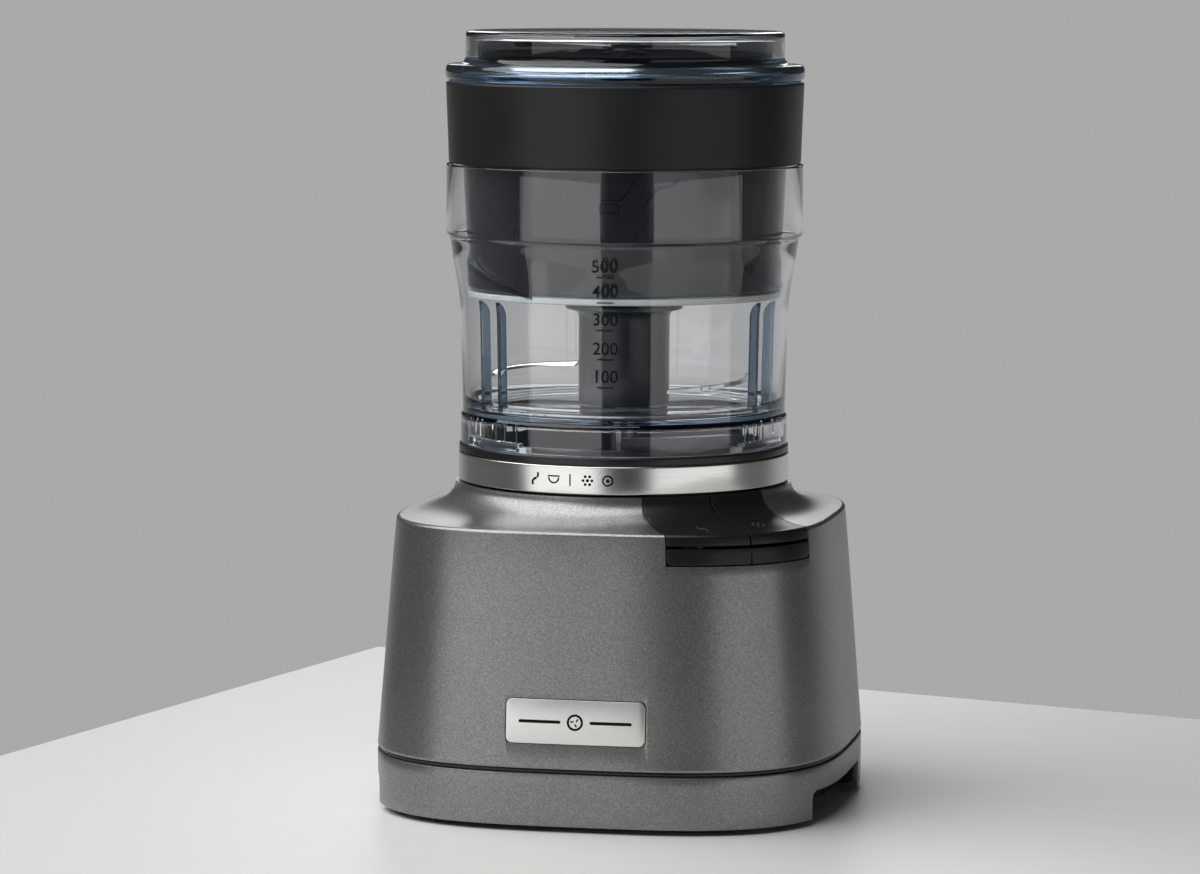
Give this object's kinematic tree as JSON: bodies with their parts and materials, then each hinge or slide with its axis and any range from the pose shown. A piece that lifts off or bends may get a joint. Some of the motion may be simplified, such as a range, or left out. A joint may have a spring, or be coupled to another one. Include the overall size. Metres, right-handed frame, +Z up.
{
  "type": "food processor",
  "caption": "Compact chopper on a tapered motor base with two press paddles, a clear bowl with a blade, and a nested grinding head under a clear lid.",
  "frame": {"origin": "centre of the footprint, on the surface that the feet stand on", "axes": "+Z up along the drive axis, the badge side faces -Y, the controls are at the front right corner (+X, -Y)"},
  "size_m": [0.1694, 0.1694, 0.2784],
  "materials": {
    "housing_paint": "dark silver-grey metallic paint with a fine sparkle, satin",
    "brushed_steel": "brushed around the ring, satin",
    "spring_steel": "bright drawn wire",
    "turned_steel": "turned, bright",
    "blade_steel": "polished and ground at the edge",
    "zinc_steel": "zinc plated",
    "satin_black": "satin black",
    "dark_grey": "dark grey, smooth",
    "clear_plastic": "clear plastic with a faint blue-grey tint at its edges, polished",
    "smoked_plastic": "smoked see-through plastic, polished",
    "black_rubber": "matt",
    "pale_silicone": "satin",
    "silver_badge": "satin silver, blank apart from a plain line motif",
    "laminated_iron": "laminated iron, dark",
    "copper_winding": "enamelled copper",
    "bronze": "sintered bronze",
    "board_green": "solder-masked board",
    "white_nylon": "natural nylon"
  },
  "bodies": {
    "base": {"badge_plate": "silver_badge", "base_plate": "satin_black", "base_screw_1": "zinc_steel", "base_screw_2": "zinc_steel", "base_screw_3": "zinc_steel", "base_screw_4": "zinc_steel", "base_skirt": "housing_paint", "bowl_seat": "dark_grey", "brush_left": "bronze", "brush_right": "bronze", "cable_gland": "black_rubber", "collar_seal": "black_rubber", "control_board": "board_green", "control_trim": "satin_black", "foot_front_left": "black_rubber", "foot_front_right": "black_rubber", "foot_rear_left": "black_rubber", "foot_rear_right": "black_rubber", "interlock_spring": "spring_steel", "interlock_switch": "dark_grey", "lower_bearing": "bronze", "main_housing": "housing_paint", "micro_switch_left": "dark_grey", "micro_switch_right": "dark_grey", "motor_bracket": "zinc_steel", "motor_can": "zinc_steel", "paddle_spring_left": "spring_steel", "paddle_spring_right": "spring_steel", "rubber_mount_1": "black_rubber", "rubber_mount_2": "black_rubber", "rubber_mount_3": "black_rubber", "seam_gasket": "black_rubber", "shaft_seal": "black_rubber", "stator": "laminated_iron", "steel_collar": "brushed_steel", "switch_bracket": "zinc_steel", "upper_bearing": "bronze"},
    "rotor": {"rotor_shaft": "turned_steel", "armature": "copper_winding", "commutator": "copper_winding", "cooling_fan": "white_nylon", "drive_coupling": "turned_steel"},
    "left_paddle": {"paddle_left": "satin_black"},
    "right_paddle": {"paddle_right": "satin_black"},
    "lock_ring": {"interlock_ring": "white_nylon"},
    "lock_pin": {"interlock_pin": "white_nylon"},
    "bowl": {"chopper_bowl": "clear_plastic"},
    "chopping_blade": {"blade_hub": "satin_black", "upper_blade": "blade_steel", "lower_blade": "blade_steel"},
    "grinding_head": {"grinding_drum": "dark_grey", "drum_seal": "pale_silicone", "grinding_pan": "smoked_plastic", "mill_bearing": "bronze"},
    "grip_collar": {"collar_band": "satin_black"},
    "grinding_blade": {"mill_spindle": "turned_steel", "mill_blade": "blade_steel", "mill_nut": "turned_steel"},
    "lid": {"clear_lid": "clear_plastic"}
  },
  "joints": [
    {"name": "drive_spin", "type": "hinge", "parent": "base", "child": "rotor", "pos_m": [0, 0, 0.1], "axis": [0, 0, 1], "continuous": true},
    {"name": "bowl_twist", "type": "hinge", "parent": "base", "child": "lock_ring", "pos_m": [0, 0, 0.126], "axis": [0, 0, -1], "range_deg": [0, 24]},
    {"name": "bowl_lift", "type": "slide", "parent": "lock_ring", "child": "bowl", "axis": [0, 0, 1], "range_m": [0, 0.06]},
    {"name": "blade_spin", "type": "hinge", "parent": "bowl", "child": "chopping_blade", "pos_m": [0, 0, 0.16], "axis": [0, 0, 1], "continuous": true},
    {"name": "head_lift", "type": "slide", "parent": "bowl", "child": "grinding_head", "axis": [0, 0, 1], "range_m": [0, 0.05]},
    {"name": "collar_twist", "type": "hinge", "parent": "grinding_head", "child": "grip_collar", "pos_m": [0, 0, 0.245], "axis": [0, 0, 1], "range_deg": [0, 20]},
    {"name": "mill_spin", "type": "hinge", "parent": "grinding_head", "child": "grinding_blade", "pos_m": [0, 0, 0.23], "axis": [0, 0, 1], "continuous": true},
    {"name": "lid_lift", "type": "slide", "parent": "grinding_head", "child": "lid", "axis": [0, 0, 1], "range_m": [0, 0.025]},
    {"name": "left_paddle_press", "type": "slide", "parent": "base", "child": "left_paddle", "axis": [0, 0, -1], "range_m": [0, 0.001], "stiffness_N_per_m": 600, "springref_m": -0.0015, "deforming": ["paddle_spring_left"]},
    {"name": "right_paddle_press", "type": "slide", "parent": "base", "child": "right_paddle", "axis": [0, 0, -1], "range_m": [0, 0.001], "stiffness_N_per_m": 600, "springref_m": -0.0015, "deforming": ["paddle_spring_right"]},
    {"name": "lock_pin_press", "type": "slide", "parent": "base", "child": "lock_pin", "axis": [0, 0, -1], "range_m": [0, 0.0016], "stiffness_N_per_m": 150, "springref_m": -0.002, "deforming": ["interlock_spring"]}
  ],
  "couplings": [
    {"joint": "blade_spin", "follows": "drive_spin", "ratio": 1},
    {"joint": "mill_spin", "follows": "drive_spin", "ratio": 1},
    {"joint": "lock_pin_press", "follows": "bowl_twist", "m_per_rad": 0.0035}
  ]
}
